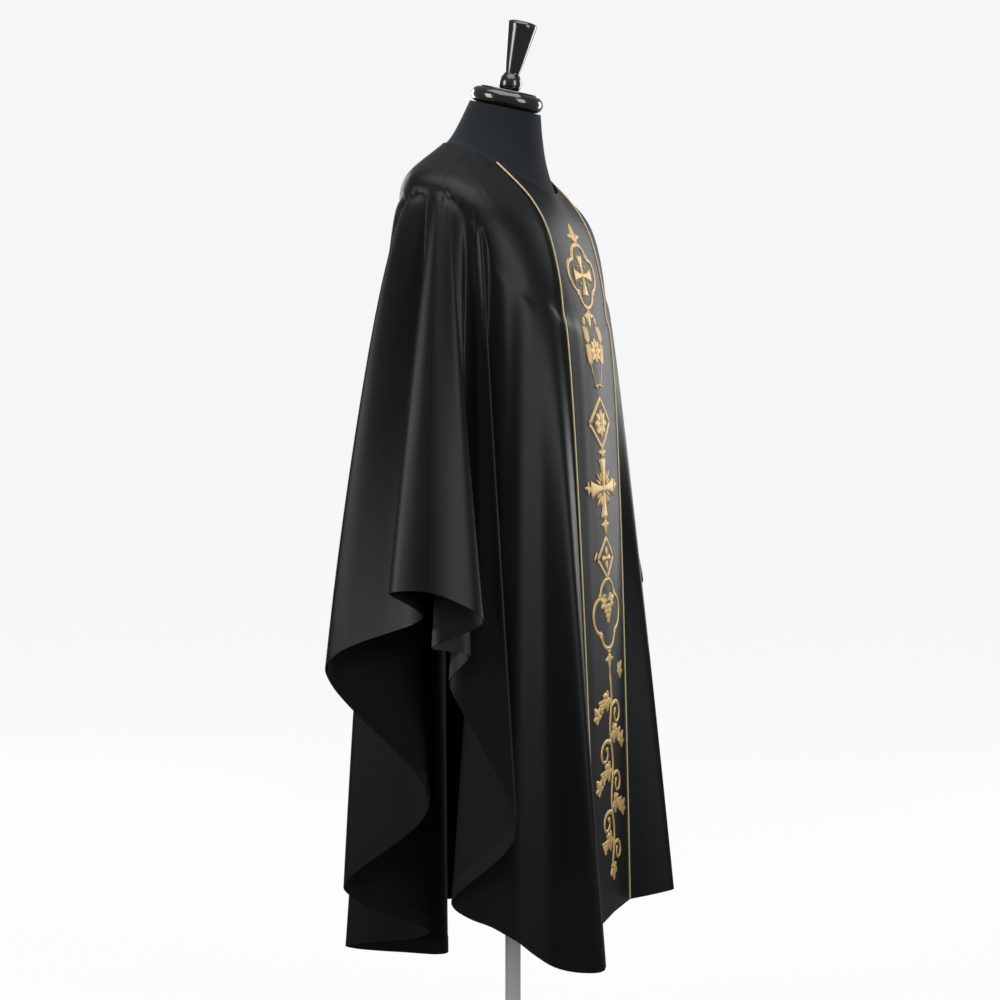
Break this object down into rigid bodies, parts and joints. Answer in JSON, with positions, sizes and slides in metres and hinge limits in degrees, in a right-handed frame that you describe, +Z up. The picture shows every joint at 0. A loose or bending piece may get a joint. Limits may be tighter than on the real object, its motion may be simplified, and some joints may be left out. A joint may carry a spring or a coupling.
{
  "type": "gothic chasuble on a dress form stand",
  "caption": "Full black satin gothic chasuble with a gold-edged front orphrey, draped in deep side folds over a limbless dress form with a turned neck cap on a metal pole.",
  "frame": {"origin": "on the floor under the pole, at the centre of the base plate's underside", "axes": "+Z up along the pole, -Y towards the front of the chasuble, -X towards the wearer's right hand"},
  "size_m": [0.7869, 0.4644, 1.7292],
  "materials": {
    "satin": "black satin with a soft sheen, plain and darker inside",
    "band": "black satin with gold satin-stitch embroidery",
    "gold_cord": "pale gold braided cord",
    "jersey": "charcoal stretch jersey, matt",
    "turned_wood": "turned wood in gloss black lacquer",
    "stand_metal": "light grey satin metal"
  },
  "bodies": {
    "root": {"front_panel": "satin", "back_panel": "satin", "orphrey_band": "band", "piping_right": "gold_cord", "piping_left": "gold_cord", "form_torso": "jersey", "neck_cap": "turned_wood", "neck_finial": "turned_wood", "pole": "stand_metal", "base_collar": "stand_metal", "base_plate": "stand_metal"}
  },
  "joints": []
}
